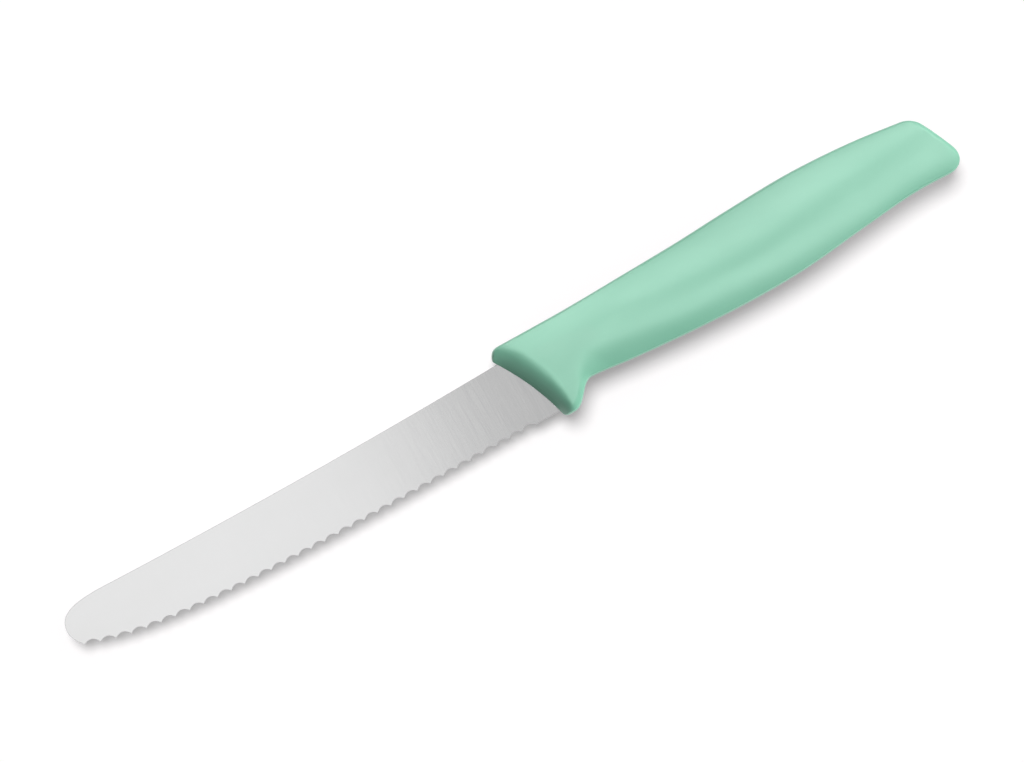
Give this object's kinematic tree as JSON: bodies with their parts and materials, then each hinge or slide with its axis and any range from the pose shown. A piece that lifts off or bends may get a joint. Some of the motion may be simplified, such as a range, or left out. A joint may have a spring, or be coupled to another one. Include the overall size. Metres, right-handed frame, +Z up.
{
  "type": "sandwich knife",
  "caption": "Sandwich knife: round-tipped steel blade with a wavy edge, its tang moulded into a mint-green plastic handle with a finger guard.",
  "frame": {"origin": "on the surface that the knife lies on, under the middle of its box", "axes": "+X from the blade's tip to the butt, +Y from the cutting edge to the spine, +Z up, out of the side that faces the viewer"},
  "size_m": [0.2108, 0.0214, 0.013],
  "materials": {
    "blade_steel": "fine cross-ground stainless steel",
    "handle_plastic": "satin moulded mint green"
  },
  "bodies": {
    "root": {"blade": "blade_steel", "handle": "handle_plastic"}
  },
  "joints": []
}
